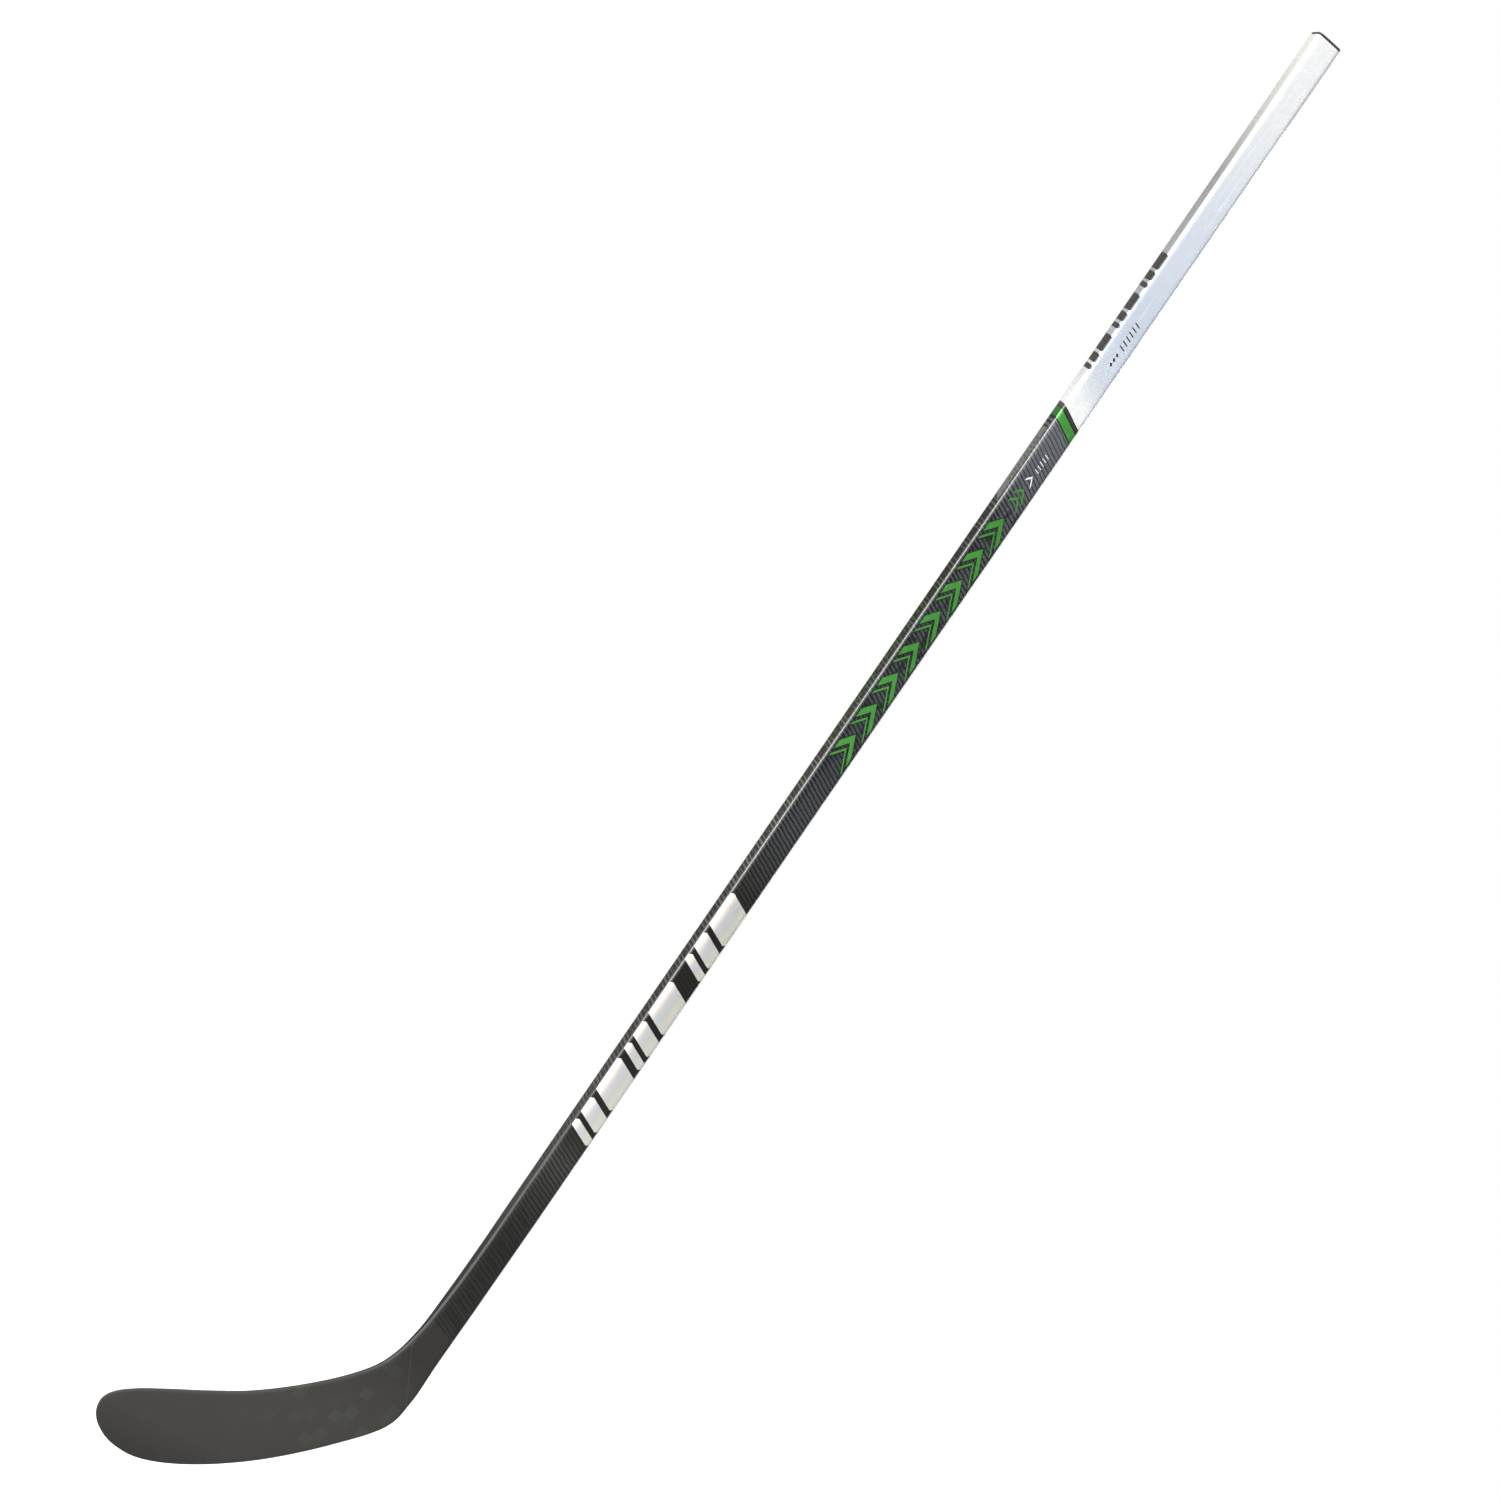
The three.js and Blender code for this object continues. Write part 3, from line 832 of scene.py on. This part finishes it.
def wrapped(p, lift):
    """x, y of the shaft's surface, raised by lift, at girth p from the middle of the -Y face.

    Girth is positive towards the heel side.
    """
    sign = 1 if p >= 0 else -1
    p = abs(p)
    radius = SHAFT_CORNER + lift
    if p <= FILM_BREAKS[0]:
        x, y = p, -(FLAT_Y + radius)
    elif p <= FILM_BREAKS[1]:
        angle = (p - FILM_BREAKS[0]) / SHAFT_CORNER - math.pi / 2
        x, y = FLAT_X + radius * math.cos(angle), -FLAT_Y + radius * math.sin(angle)
    elif p <= FILM_BREAKS[2]:
        x, y = FLAT_X + radius, -FLAT_Y + (p - FILM_BREAKS[1])
    elif p <= FILM_BREAKS[3]:
        angle = (p - FILM_BREAKS[2]) / SHAFT_CORNER
        x, y = FLAT_X + radius * math.cos(angle), FLAT_Y + radius * math.sin(angle)
    else:
        x, y = FLAT_X - (p - FILM_BREAKS[3]), FLAT_Y + radius
    return sign * x, y


def taper_depth(x, z):
    """How far the -Y face of the shaft's tapering end lies behind that of the straight part."""
    first, last = 0.0, SHAFT_END
    halvings = 16
    for _ in range(halvings):
        middle = (first + last) / 2
        (toe_x, toe_z), (heel_x, heel_z), thickness = rib_at(middle)
        if toe_z + (heel_z - toe_z) * (x - toe_x) / (heel_x - toe_x) > z:
            first = middle
        else:
            last = middle
    return (SHAFT_THICKNESS - thickness) / 2


def film(name, polygons, material, level, face=1):
    """Printed film in one piece: each polygon is girth and height points in millimetres.

    It is cut where it bends round a corner, given its thickness, and wrapped round the shaft. A
    face of -1 puts the same marks on the +Y side, as a mirror image.
    """
    work = bmesh.new()
    for polygon in polygons:
        corners = [work.verts.new((p * MM, h * MM, 0)) for p, h in polygon]
        work.faces.new(corners)
    bmesh.ops.triangulate(work, faces=work.faces[:])
    cuts = [side * at for at in FILM_BREAKS for side in (-1, 1)]
    for first in (FILM_BREAKS[0], FILM_BREAKS[2]):
        bends = [first + ARC * k / FILM_ARC_STEPS for k in range(1, FILM_ARC_STEPS)]
        cuts += [side * at for at in bends for side in (-1, 1)]
    for cut in cuts:
        geometry = work.verts[:] + work.edges[:] + work.faces[:]
        bmesh.ops.bisect_plane(work, geom=geometry, plane_co=(cut, 0, 0), plane_no=(1, 0, 0))
    top = work.faces[:]
    extruded = bmesh.ops.extrude_face_region(work, geom=top, use_keep_orig=True)
    raised = {item for item in extruded["geom"] if isinstance(item, bmesh.types.BMVert)}
    for vertex in work.verts:
        x, y = wrapped(vertex.co.x, level if vertex in raised else UNDERSIDE)
        z = vertex.co.y - SLANT_X * x - SLANT_Y * y * face
        vertex.co = (x, (y + taper_depth(x, z)) * face, z)
    mesh = bpy.data.meshes.new(name)
    work.to_mesh(mesh)
    work.free()
    face_outwards(mesh)
    return finish_piece(new_object(name, mesh, [material]), "stick", "shaft_lacquer")


def bar(left, right, top, bottom, cut=0.0):
    """A bar across the face, with its upper left and lower right corners cut off."""
    return [(left + cut, top), (right, top), (right, bottom + cut), (right - cut, bottom),
            (left, bottom), (left, top - cut)]


def chevron(half, top, arm, stroke, grow=0.0):
    """An arrowhead that points up the shaft; grow widens it all round, as an outline."""
    out, tip = half + grow, top + 1.6 * grow
    low, drop = top - arm - 0.7 * grow, stroke + 3.2 * grow
    upper = [(-out, low), (0, tip), (out, low)]
    return [upper + [(x, z - drop) for x, z in reversed(upper)]]


def silver_groups():
    """Three groups of slanted foil bars, each group falling from broad to narrow."""
    polygons = []
    for top in (-952, -1050, -1134):
        height = top
        for depth, gap in ((37, 6.5), (18, 5.5), (9, 0)):
            polygons.append(bar(-13.2, 12.6, height, height - depth, 3.0))
            height -= depth + gap
    return polygons


def green_chevrons(grow):
    """A row of broad arrowheads, each with a thin one below it."""
    polygons = []
    for top in [-526 - 34.2 * k for k in range(8)]:
        polygons += chevron(10.0, top, 16.5, 9.0, grow)
        polygons += chevron(10.0, top - 14.5, 16.5, 3.0, grow * 0.8)
    return polygons


def small_marks(tops, left, right, depth):
    """A row of short level bars."""
    return [[(left, top), (right, top), (right, top - depth), (left, top - depth)] for top in tops]


def slanted_dashes(tops, middle, half, depth):
    """A row of short dashes that climb towards the heel side."""
    rise = 1.1
    return [[(middle - half, top), (middle + half, top + rise), (middle + half, top + rise - depth),
             (middle - half, top - depth)] for top in tops]


def diamonds(heights, middle, half):
    """A row of small diamonds, by the heights of their middles."""
    return [[(middle - half, h), (middle, h + half), (middle + half, h), (middle, h - half)]
            for h in heights]


def tone_marks():
    """Dark slanted dashes and end lines that barely show on the dark lower shaft."""
    lines = small_marks((-1408, -1411.5, -1415), -13, 13, 1.0)
    return slanted_dashes(range(-1296, -1400, -6), 0, 7.5, 1.8) + lines


def edge_groups():
    """Dark marks on the narrow toe-side face of the white part, wrapped from behind."""
    polygons = []
    for top in (-251, -296, -341):
        for start, depth in ((0, 17), (20, 9), (32, 5)):
            polygons.append(bar(-38, -12.8, top - start, top - start - depth, 2.0))
    return polygons


def print_everything(ink, green, silver):
    """All the films: the same marks on both broad faces, and more on the narrow toe-side face."""
    white = mark_ink("mark_white", (214, 216, 218), (236, 237, 238))
    grey = mark_ink("mark_grey", (82, 83, 80), (96, 97, 93))
    charcoal = mark_ink("mark_charcoal", (46, 45, 42), (60, 58, 55))
    moss = mark_ink("mark_moss", (26, 46, 22), (34, 66, 28))
    soot = mark_ink("mark_soot", (22, 22, 21), (29, 29, 28), 0.05)
    pair = chevron(6.5, -494, 8, 3.0) + chevron(6.5, -503, 8, 3.0)
    face_marks = [
        ("foil_bars", silver_groups(), silver, MIDDLE),
        ("chevron_outline", green_chevrons(1.0), ink, LOW),
        ("chevrons", green_chevrons(0.0), green, HIGH),
        ("dashes", slanted_dashes(range(-312, -342, -5), 1.0, 3.2, 1.2), ink, MIDDLE),
        ("diamonds", diamonds((-345, -350, -355), 1.0, 1.7), ink, MIDDLE),
        ("white_dashes", slanted_dashes(range(-458, -476, -4), 0.5, 2.6, 0.8), white, MIDDLE),
        ("white_arrow", chevron(4.2, -480, 6.5, 2.4), white, MIDDLE),
        ("small_chevrons", pair, green, MIDDLE),
        ("tone_marks", tone_marks(), soot, LOW),
    ]
    for side, face in (("front", 1), ("back", -1)):
        for name, polygons, material, level in face_marks:
            film(f"{name}_{side}", polygons, material, level, face)
    film("edge_marks", edge_groups(), charcoal, MIDDLE)
    panel = [[(-26.2, -444.4), (-16.4, -442.6), (-16.4, -523), (-26.2, -519)]]
    film("edge_panel", panel, grey, LOW)
    film("edge_panel_marks", small_marks(range(-455, -505, -5), -22.6, -19.6, 2.2), charcoal, HIGH)
    film("edge_moss_marks", small_marks(range(-640, -800, -7), -24.5, -18.5, 3.2), moss, MIDDLE)


# ------------------------------ hosel, blade and cap


def eased(first, last, count):
    """Stations that crowd towards the last."""
    return [first + (last - first) * math.sin(k / count * math.pi / 2) for k in range(count + 1)]


def crown_at(station):
    """How much the faces fall towards their edges: none at the shaft, fully along the blade."""
    return CROWN * min(max((station - CROWN_START) / CROWN_RUN, 0), 1)


def hosel(material):
    """The hollow outer laminate between the shaft's end and the heel."""
    first, last = SHAFT_END + STATION_GAP * 2, HEEL_SEAM
    stations = [first + (last - first) * k / HOSEL_STEPS for k in range(HOSEL_STEPS + 1)]
    outer = [section_loop(rib_at(s, LAMINATE_ROOM), LAMINATE_ROOM, crown_at(s)) for s in stations]
    inner = [section_loop(rib_at(s, HOSEL_WALL), HOSEL_WALL, crown_at(s)) for s in stations]
    mesh = mesh_from_rows("hosel_laminate", outer + inner[::-1], True)
    obj = new_object("hosel_laminate", mesh, [material])
    return finish_piece(obj, "stick", "raw_carbon", "hosel_shell")


def blade_skin(name, side, node, material):
    """The thin skin of one side of the blade, with its rounded edge up to the parting line."""
    stations = eased(HEEL_SEAM + STATION_GAP, TOE_END, BLADE_STEPS)
    rows = []
    for station in stations:
        crown = crown_at(station)
        rib = rib_at(station, LAMINATE_ROOM)
        outer = section_half(rib, LAMINATE_ROOM, crown, PARTING_GAP, side)
        inner = section_half(rib_at(station, SKIN_WALL), SKIN_WALL, crown, PARTING_GAP, side)
        rows.append(outer + inner[::-1])
    count = len(rows[0])
    vertices = [tuple(p) for row in rows for p in row]
    faces = []
    for r in range(len(rows) - 1):
        faces += ring_quads(count, r * count, (r + 1) * count)
    for base in (0, (len(rows) - 1) * count):
        for c in range(count // 2 - 1):
            faces.append((base + c, base + c + 1, base + count - 2 - c, base + count - 1 - c))
    mesh = bpy.data.meshes.new(name)
    mesh.from_pydata(vertices, [], faces)
    face_outwards(mesh)
    return finish_piece(new_object(name, mesh, [material]), "stick", "raw_carbon", node)


FLANGE = 2.1 * MM


def cap_loop(z, inset):
    """A level loop of the cap at height z, inset from the shaft's outline."""
    half_x, half_y = SHAFT_WIDTH / 2 - inset, SHAFT_THICKNESS / 2 - inset
    smallest = 0.3 * MM
    radius = max(SHAFT_CORNER - inset, smallest)
    front = front_half(half_x, half_y, radius)
    back = [(x, -y) for x, y in front[::-1][1:-1]]
    return [Vector((x, y, z)) for x, y in front + back]


def flange_profile():
    """Height and inset down the flange: a shallow panel in its top, a rounded edge and its rim."""
    panel = [(0.35, 4.2), (0.35, 3.0), (0.05, 2.5), (0, 2.2), (0, 0.9)]
    profile = [(CAP_TOP - depth * MM, inset * MM) for depth, inset in panel]
    edge, edge_steps = 0.8 * MM, 6
    for step in range(1, edge_steps + 1):
        angle = step / edge_steps * math.pi / 2
        profile.append((CAP_TOP - edge * (1 - math.cos(angle)),
                        FILM_ROOM + edge * (1 - math.sin(angle))))
    bevel = 0.15 * MM
    return profile + [(CAP_TOP - FLANGE + bevel, FILM_ROOM), (CAP_TOP - FLANGE, FILM_ROOM + bevel)]


def butt_plug(material):
    """Flange, and a hollow spigot with a bevelled end and crush ribs."""
    spigot = SHAFT_WALL + 0.9 * MM
    rows = [cap_loop(z, inset) for z, inset in flange_profile()]
    rows.append(cap_loop(CAP_TOP - FLANGE, spigot))
    for z in (-4, -9, -14, -19, -24, CAP_BOTTOM / MM + 1.2):
        rows.append(cap_loop(z * MM, spigot))
    rows.append(cap_loop(CAP_BOTTOM, spigot + 0.7 * MM))
    rows.append(cap_loop(CAP_BOTTOM, spigot + 1.7 * MM))
    rows.append(cap_loop(-4.5 * MM, spigot + 2.0 * MM))
    mesh = mesh_from_rows("butt_plug", rows, False)
    work = bmesh.new()
    work.from_mesh(mesh)
    for x, y, size_x, size_y in crush_rib_places(SHAFT_WALL + 0.35 * MM):
        add_crush_rib(work, x, y, size_x, size_y)
    work.to_mesh(mesh)
    work.free()
    obj = new_object("butt_plug", mesh, [material])
    return finish_piece(obj, "butt_cap", "cap_plastic", "butt_cap")


def crush_rib_places(inset):
    """Middle and size of each rib's footprint: three on each broad side, two on each narrow."""
    reach_x, reach_y = SHAFT_WIDTH / 2 - inset, SHAFT_THICKNESS / 2 - inset
    deep = 0.9 * MM
    wide = 1.2 * MM
    for x in (-7 * MM, 0, 7 * MM):
        for side in (-1, 1):
            yield x, side * (reach_y - deep / 2), wide, deep
    for y in (-3 * MM, 3 * MM):
        for side in (-1, 1):
            yield side * (reach_x - deep / 2), y, deep, wide


def add_crush_rib(work, x, y, size_x, size_y):
    """A rib down the spigot. Its levels are heights and shares of its size, for a lead-in below."""
    bottom = CAP_BOTTOM + 1.5 * MM
    levels = [(-FLANGE, 1.0), (bottom + 3 * MM, 1.0), (bottom + 1 * MM, 0.8), (bottom, 0.35)]
    rings = []
    for z, share in levels:
        dx, dy = size_x / 2 * share, size_y / 2 * share
        corners = [(-dx, -dy), (dx, -dy), (dx, dy), (-dx, dy)]
        rings.append([work.verts.new((x + cx, y + cy, z)) for cx, cy in corners])
    made = [work.faces.new(rings[0]), work.faces.new(rings[-1][::-1])]
    for upper, lower in zip(rings, rings[1:]):
        for k in range(4):
            m = (k + 1) % 4
            made.append(work.faces.new((upper[k], lower[k], lower[m], upper[m])))
    bmesh.ops.recalc_face_normals(work, faces=made)


def finish_inner_nodes(foam, tow):
    """Materials for the CAD's own nodes inside the stick."""
    for name in ("shaft_foam_plug", "heel_block", "blade_upper_core", "blade_lower_core"):
        set_material(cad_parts[name], foam)
    for name in ("hosel_tenon", "blade_edge_rail", "blade_centre_rib"):
        set_material(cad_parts[name], tow)


def set_material(obj, material):
    """The same material in every slot of a CAD node."""
    for slot in obj.material_slots:
        slot.material = material


# ------------------------------ camera, stage and light


# The view is level with the shaft, turned towards the toe side, and rolled so the shaft leans.
VIEW_TURN = math.radians(22)
SHAFT_LEAN = math.radians(55.54)
VIEW_HEIGHT = -0.833
VIEW_OFFSET = 0.068
VIEW_DISTANCE = 2.516
LENS = 66.0

# Light of the surroundings on the stick, and the height of the stick's middle.
SURROUNDINGS = 0.26
STICK_MIDDLE = -0.83


def make_camera():
    """The main view, seen a little from the toe side."""
    view = Vector((math.sin(VIEW_TURN), math.cos(VIEW_TURN), 0))
    level = Vector((math.cos(VIEW_TURN), -math.sin(VIEW_TURN), 0))
    shaft = Vector((0, 0, 1))
    right = shaft * math.cos(SHAFT_LEAN) + level * math.sin(SHAFT_LEAN)
    up = shaft * math.sin(SHAFT_LEAN) - level * math.cos(SHAFT_LEAN)
    axes = Matrix((right, up, -view)).transposed()
    data = bpy.data.cameras.new("camera")
    data.lens = LENS
    data.sensor_width = 36.0
    data.clip_end = 50.0
    camera = bpy.data.objects.new("camera", data)
    bpy.context.scene.collection.objects.link(camera)
    camera.matrix_world = axes.to_4x4()
    camera.location = shaft * VIEW_HEIGHT - level * VIEW_OFFSET - view * VIEW_DISTANCE
    bpy.context.scene.camera = camera


def make_floor():
    """A wide round floor below the stick, whose rim curves up a little."""
    depth = CAD_BOX[0].z - 0.25
    rings = [(4.0, 0.0), (4.8, 0.02), (5.4, 0.1)]
    vertices = [(0, 0, depth)]
    turns = 48
    for radius, rise in rings:
        for k in range(turns):
            angle = 2 * math.pi * k / turns
            vertices.append((radius * math.cos(angle), radius * math.sin(angle), depth + rise))
    faces = [(0, 1 + k, 1 + (k + 1) % turns) for k in range(turns)]
    for ring in range(len(rings) - 1):
        faces += ring_quads(turns, 1 + ring * turns, 1 + (ring + 1) * turns)
    mesh = bpy.data.meshes.new("floor")
    mesh.from_pydata(vertices, [], faces)
    n = Nodes("floor_pale")
    colour = n.ramp(n.noise(3, 3), (0.3, 243, 243, 243), (0.7, 246, 246, 246))
    n.finish(colour, 0.85)
    floor = new_object("floor", mesh, [n.material])


def area_light(name, place, width, height, power):
    """A rectangular light that faces the middle of the stick."""
    data = bpy.data.lights.new(name, "AREA")
    data.shape = "RECTANGLE"
    data.size = width
    data.size_y = height
    data.energy = power
    lamp = bpy.data.objects.new(name, data)
    bpy.context.scene.collection.objects.link(lamp)
    lamp.location = place
    aim = Vector((0, 0, STICK_MIDDLE)) - Vector(place)
    lamp.rotation_euler = aim.to_track_quat("-Z", "Y").to_euler()


def make_light():
    """Two tall strips for the corner lines, a soft fill in front, and light from above."""
    area_light("strip_toe_side", (-2.04, -0.82, STICK_MIDDLE), 0.8, 2.8, 92)
    area_light("strip_heel_side", (2.04, 0.83, STICK_MIDDLE), 0.7, 2.8, 45)
    area_light("front_soft", (-1.6, -2.4, 0.8), 1.8, 1.8, 5)
    data = bpy.data.lights.new("overhead", "SUN")
    data.energy = 2.9
    data.angle = math.radians(40)
    lamp = bpy.data.objects.new("overhead", data)
    bpy.context.scene.collection.objects.link(lamp)


def make_world():
    """Even grey surroundings in front of a white backdrop."""
    world = bpy.data.worlds.new("studio")
    bpy.context.scene.world = world
    world.use_nodes = True
    tree = world.node_tree
    background = tree.nodes["Background"]
    path = tree.nodes.new("ShaderNodeLightPath")
    seen = tree.nodes.new("ShaderNodeMapRange")
    seen.inputs["To Min"].default_value = SURROUNDINGS
    tree.links.new(path.outputs["Is Camera Ray"], seen.inputs[0])
    tree.links.new(seen.outputs[0], background.inputs["Strength"])
    background.inputs["Color"].default_value = (1, 1, 1, 1)
    bpy.context.scene.view_settings.view_transform = "Standard"


# ------------------------------ build


make_camera()

GREEN, INK, TRIM, SILVER = candy_green(), ink_black(), trim_dark(), silver_foil()
CARBON = raw_carbon()
painted_shaft([grip_white(), TRIM, INK, GREEN, printed_carbon(), bore_carbon()])
print_everything(INK, GREEN, SILVER)
hosel(CARBON)
blade_skin("forehand_laminate", -1, "blade_forehand_skin", CARBON)
blade_skin("backhand_laminate", 1, "blade_backhand_skin", CARBON)
butt_plug(cap_plastic())
finish_inner_nodes(core_foam(), carbon_tow())

make_floor()
make_light()
make_world()
